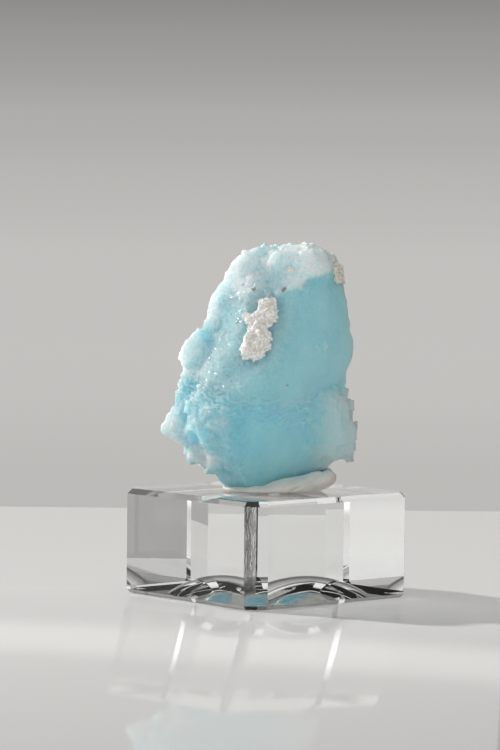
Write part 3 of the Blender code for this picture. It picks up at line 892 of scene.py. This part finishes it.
def build_stage(settings):
    """Pale table, graded backdrop, key light and camera."""
    back = settings.table_edge
    slant = (settings.table_right_back - settings.table_right) / back
    corners = (
        (-settings.table_left, back),
        (-settings.table_left, -settings.table_reach),
        (settings.table_right - slant * settings.table_reach, -settings.table_reach),
        (settings.table_right_back, back),
    )
    bm = bmesh.new()
    top = bm.faces.new([bm.verts.new((u, v, -settings.table_gap)) for u, v in corners])
    sunk = bmesh.ops.extrude_face_region(bm, geom=[top])["geom"]
    moved = [part for part in sunk if isinstance(part, bmesh.types.BMVert)]
    bmesh.ops.translate(bm, vec=(0.0, 0.0, -0.02), verts=moved)
    bmesh.ops.recalc_face_normals(bm, faces=bm.faces)
    bmesh.ops.bevel(bm, geom=bm.edges, offset=0.002, segments=3, affect="EDGES", profile=0.5)
    bm.transform(Matrix.Rotation(-DISPLAY_TURN, 4, "Z"))
    table = new_piece("table_top", bm)
    table.data.shade_smooth()
    table.data.materials.append(table_material(settings))
    build_backdrop(settings.front_fill)
    build_lights(settings)
    place_camera(settings)


def table_material(settings):
    """Glossy white acrylic, with painted shade that darkens it towards the viewer."""
    m = Finish("white_table")
    # Painted shade: the table darkens towards the viewer
    near = m.spread(m.display_parts(m.place())["Y"], -0.05, -0.23)
    tone = m.mix(near, settings.table_colour, settings.table_front_shade)
    m.set(Base_Color=tone, Roughness=0.05, IOR=TABLE_IOR)
    return m.material


def build_backdrop(front_fill):
    """World light: a graded backdrop, bright overhead and low in front, darker to the right."""
    world = bpy.data.worlds.new("studio")
    bpy.context.scene.world = world
    world.use_nodes = True
    w = Nodes(world.node_tree)
    w.tree.nodes.clear()
    sight = w.display_parts(w.node("ShaderNodeTexCoord").outputs["Generated"])
    by_height = w.scale(w.spread(sight["Z"], -1.0, 1.0), height_tones())
    by_side = w.scale(w.spread(sight["X"], -1.0, 1.0), side_tones())
    in_front = w.spread(sight["Y"], -0.1, -0.6, 0.0, front_fill, "SMOOTHSTEP")
    low = w.spread(sight["Z"], 0.30, 0.62, 1.0, 0.0, "SMOOTHSTEP")
    background = w.node("ShaderNodeBackground")
    w.feed(background.inputs["Color"], w.mix(1.0, by_height, by_side, "MULTIPLY"))
    w.feed(background.inputs["Strength"], w.math("ADD", w.math("MULTIPLY", in_front, low), 1.0))
    output = w.node("ShaderNodeOutputWorld")
    w.link(background.outputs[0], output.inputs["Surface"])


def height_tones():
    """Backdrop tone against the sine of the height above eye level."""
    warm = (1.0, 0.985, 0.955)
    tones = ((-1.0, 0.45), (-0.3, 0.48), (-0.09, 0.50), (-0.05, 0.545), (-0.02, 0.54), (0.0, 0.49),
             (0.02, 0.43), (0.04, 0.345), (0.056, 0.275), (0.064, 0.26), (0.078, 0.62), (0.098, 0.62),
             (0.12, 0.16), (0.35, 0.12), (0.6, 0.36), (1.0, 0.92))
    return [((sine + 1) / 2, tuple(c * tone for c in warm)) for sine, tone in tones]


def side_tones():
    """Tone against how far to the right the direction lies."""
    tones = ((-1.0, 1.0), (-0.35, 1.0), (-0.08, 1.0), (0.08, 1.0), (0.3, 0.78), (0.7, 0.6), (1.0, 0.58))
    return [((side + 1) / 2, (tone, tone, tone)) for side, tone in tones]


def build_lights(settings):
    """Low key light from the left, a little behind the object."""
    key = bpy.data.objects.new("key_light", bpy.data.lights.new("key_light", "SUN"))
    bpy.context.scene.collection.objects.link(key)
    key.data.energy = settings.key_strength
    key.data.angle = settings.key_angle
    key.data.color = (1.0, 0.985, 0.96)
    u = -math.cos(settings.key_behind) * math.cos(settings.key_height)
    v = math.sin(settings.key_behind) * math.cos(settings.key_height)
    source = FROM_DISPLAY.to_3x3() @ Vector((u, v, math.sin(settings.key_height)))
    key.rotation_euler = source.to_track_quat("Z", "Y").to_euler()


def place_camera(settings):
    """The photograph's own viewpoint."""
    camera = bpy.data.objects.new("camera", bpy.data.cameras.new("camera"))
    bpy.context.scene.collection.objects.link(camera)
    camera.data.lens = settings.lens
    camera.data.sensor_width = 36.0
    camera.data.clip_start = 0.05
    camera.data.clip_end = 20.0
    camera.matrix_world = (
        Matrix.Rotation(-DISPLAY_TURN, 4, "Z")
        @ Matrix.Translation((settings.camera_side, -settings.camera_distance, settings.camera_height))
        @ Matrix.Rotation(math.pi / 2 - settings.camera_pitch, 4, "X")
        @ Matrix.Rotation(settings.camera_roll, 4, "Z")
    )
    scene = bpy.context.scene
    scene.camera = camera
    scene.view_settings.view_transform = "Standard"


def colour(name, description, default):
    """A colour setting."""
    return bpy.props.FloatVectorProperty(
        name=name, description=description, default=default, size=3, min=0.0, max=1.0, subtype="COLOR")


def length(name, description, default):
    """A length setting, in metres."""
    return bpy.props.FloatProperty(
        name=name, description=description, default=default, precision=5, unit="LENGTH", subtype="DISTANCE")


def angle(name, description, degrees):
    """An angle setting."""
    return bpy.props.FloatProperty(
        name=name, description=description, default=math.radians(degrees), unit="ROTATION", subtype="ANGLE")


class CrystalSettings(bpy.types.PropertyGroup):
    first_grid: length("First grid", "Grid on which the solid is softened", 0.00050)
    fine_grid: length("Fine grid", "Grid of the finished skin", 0.00029)
    upper_colour: colour("Upper colour", "Beryl above the ledge", (0.49, 0.85, 0.92))
    foot_colour: colour("Foot colour", "Beryl below the ledge", (0.46, 0.87, 0.99))
    frost_colour: colour("Frost colour", "Rough, sugary skin", (0.42, 0.57, 0.60))
    crust_colour: colour("Crust colour", "Whitish crust at the top right", (0.84, 0.94, 0.97))
    # Painted shade in the low points of the rough skin, also the tint of its random clouds and fine mottle
    shade_and_mottle_colour: colour("Hollow colour", "Tint of the hollows of the rough skin", (0.74, 0.87, 0.90))
    # Painted highlight on the highest points of the rough skin
    tip_highlight_colour: colour("Tip colour", "Highest points of the rough skin", (0.93, 0.97, 0.97))
    speck_colour: colour("Speck colour", "Brown grains caught in the skin", (0.24, 0.19, 0.15))
    wing_colour: colour("Wing colour", "Thin growth at the lower right", (0.66, 0.90, 1.0))
    pale_colour: colour("Pale colour", "Thin white growths at the left", (0.73, 0.76, 0.77))
    depth_colour: colour(
        "Depth colour", "Colour that is left after light crosses the stone", (0.28, 0.80, 0.93))
    depth_density: bpy.props.FloatProperty(
        name="Depth density", description="How fast the stone takes up light, per metre", default=16.0)


class FeldsparSettings(bpy.types.PropertyGroup):
    grid: length("Grid", "Grid of the finished grains", 0.00014)
    white: colour("White", "Main patch and bead", (0.97, 0.96, 0.95))
    cream: colour("Cream", "Patch on the right edge", (0.78, 0.72, 0.66))
    # Painted shade in the hollows between the grains
    hollow: colour("Hollow", "Shaded hollows between grains", (0.62, 0.62, 0.56))
    stain: colour("Stain", "Grey-green stain", (0.60, 0.64, 0.56))


class PuttySettings(bpy.types.PropertyGroup):
    grid: length("Grid", "Grid of the finished pad", 0.00030)
    colour: colour("Colour", "Putty where it is smooth", (0.86, 0.85, 0.81))
    shade: colour("Shade", "Putty where it is worked", (0.76, 0.75, 0.70))


class BlockSettings(bpy.types.PropertyGroup):
    corner_cut: length("Corner cut", "Width taken off each side at the upright corners", 0.0039)
    top_bevel: length("Top bevel", "Bevel round the top", 0.0012)
    foot_bevel: length("Foot bevel", "Bevel round the underside", 0.0009)
    scoop_radius: length("Scoop radius", "Radius of the scoop at the underside", 0.0192)
    scoop_depth: length("Scoop depth", "Depth of the scoop", 0.0052)
    scoop_offset: length("Scoop offset", "How far the scoop lies right of the middle", 0.0014)
    ripple_end: length("Ripple end", "How far right the ripples of the front corner cut reach", -0.0024)
    colour: colour("Colour", "Tint of the glass", (0.985, 0.992, 0.99))


class StageSettings(bpy.types.PropertyGroup):
    table_left: length("Table left", "How far the table reaches to the left", 0.7)
    table_right: length("Table right", "How far the table reaches to the right of the object", 0.059)
    table_right_back: length("Table right at the back", "How far its back corner lies to the right", 0.077)
    table_reach: length("Table reach", "How far the table reaches towards the viewer", 0.6)
    table_edge: length("Table edge", "How far the table reaches behind the object", 0.219)
    table_gap: length("Table gap", "Air left between the table and the glass", 0.00015)
    table_colour: colour("Table colour", "White acrylic", (0.98, 0.98, 0.98))
    # Painted shade on the table towards the viewer
    table_front_shade: colour("Table front", "White acrylic towards the viewer", (0.72, 0.72, 0.72))
    front_fill: bpy.props.FloatProperty(
        name="Front fill", description="How much brighter the room is low on the viewer's side",
        default=2.5)
    key_strength: bpy.props.FloatProperty(
        name="Key strength", description="Strength of the key light", default=3.4)
    key_angle: angle("Key size", "How wide the key light looks from the object", 3.0)
    key_behind: angle("Key behind", "How far the key light stands behind the left side", 30.0)
    key_height: angle("Key height", "Height of the key light above the table", 27.0)
    lens: bpy.props.FloatProperty(
        name="Lens", description="Focal length for a 36 mm sensor, in millimetres", default=162.36)
    camera_side: length("Camera side", "Camera's place to the left of the middle", -0.0042)
    camera_distance: length("Camera distance", "Camera's distance from the middle", 0.8)
    camera_height: length("Camera height", "Camera's height above the table", 0.0949)
    camera_pitch: angle("Camera pitch", "How far the camera looks down", 3.07)
    camera_roll: angle("Camera roll", "How far the camera leans", 0.58)


SETTINGS = {
    "aqua_stage": StageSettings,
    "aqua_block": BlockSettings,
    "aqua_putty": PuttySettings,
    "aqua_crystal": CrystalSettings,
    "aqua_feldspar": FeldsparSettings,
}


class AQUAMARINE_OT_set_stage(bpy.types.Operator):
    """Set the table, the backdrop, the light and the camera"""
    bl_idname = "aquamarine.set_stage"
    bl_label = "Set Stage"

    def execute(self, context):
        build_stage(context.scene.aqua_stage)
        return {"FINISHED"}


class AQUAMARINE_OT_grind_block(bpy.types.Operator):
    """Grind the clear glass block with its cut corners and scoop"""
    bl_idname = "aquamarine.grind_block"
    bl_label = "Grind Glass Block"

    def execute(self, context):
        build_block(context.scene.aqua_block)
        return {"FINISHED"}


class AQUAMARINE_OT_press_putty(bpy.types.Operator):
    """Press the pad of putty that holds the stone"""
    bl_idname = "aquamarine.press_putty"
    bl_label = "Press Putty"

    def execute(self, context):
        build_putty(context.scene.aqua_putty)
        return {"FINISHED"}


class AQUAMARINE_OT_etch_crystal(bpy.types.Operator):
    """Etch the aquamarine's fine skin"""
    bl_idname = "aquamarine.etch_crystal"
    bl_label = "Etch Crystal"

    def execute(self, context):
        build_crystal(context.scene.aqua_crystal)
        return {"FINISHED"}


class AQUAMARINE_OT_grow_feldspar(bpy.types.Operator):
    """Grow the white patch, the bead and the edge patch of feldspar"""
    bl_idname = "aquamarine.grow_feldspar"
    bl_label = "Grow Feldspar"

    def execute(self, context):
        build_feldspar(context.scene.aqua_feldspar)
        return {"FINISHED"}


class AQUAMARINE_PT_display(bpy.types.Panel):
    """Lists the pieces and their settings"""
    bl_label = "Etched Aquamarine"
    bl_space_type = "VIEW_3D"
    bl_region_type = "UI"
    bl_category = "Aquamarine"

    def draw(self, context):
        for (name, group), operator in zip(SETTINGS.items(), OPERATORS):
            box = self.layout.box()
            box.operator(operator.bl_idname)
            for setting in group.__annotations__:
                box.prop(getattr(context.scene, name), setting)


OPERATORS = (
    AQUAMARINE_OT_set_stage,
    AQUAMARINE_OT_grind_block,
    AQUAMARINE_OT_press_putty,
    AQUAMARINE_OT_etch_crystal,
    AQUAMARINE_OT_grow_feldspar,
)
CLASSES = (*SETTINGS.values(), *OPERATORS, AQUAMARINE_PT_display)


def register():
    for cls in CLASSES:
        bpy.utils.register_class(cls)
    for name, group in SETTINGS.items():
        setattr(bpy.types.Scene, name, bpy.props.PointerProperty(type=group))


def unregister():
    for name in SETTINGS:
        delattr(bpy.types.Scene, name)
    for cls in reversed(CLASSES):
        bpy.utils.unregister_class(cls)


def main():
    """Build every piece in order."""
    register()
    bpy.ops.aquamarine.set_stage()
    bpy.ops.aquamarine.grind_block()
    bpy.ops.aquamarine.press_putty()
    bpy.ops.aquamarine.etch_crystal()
    bpy.ops.aquamarine.grow_feldspar()


if __name__ == "__main__":
    main()
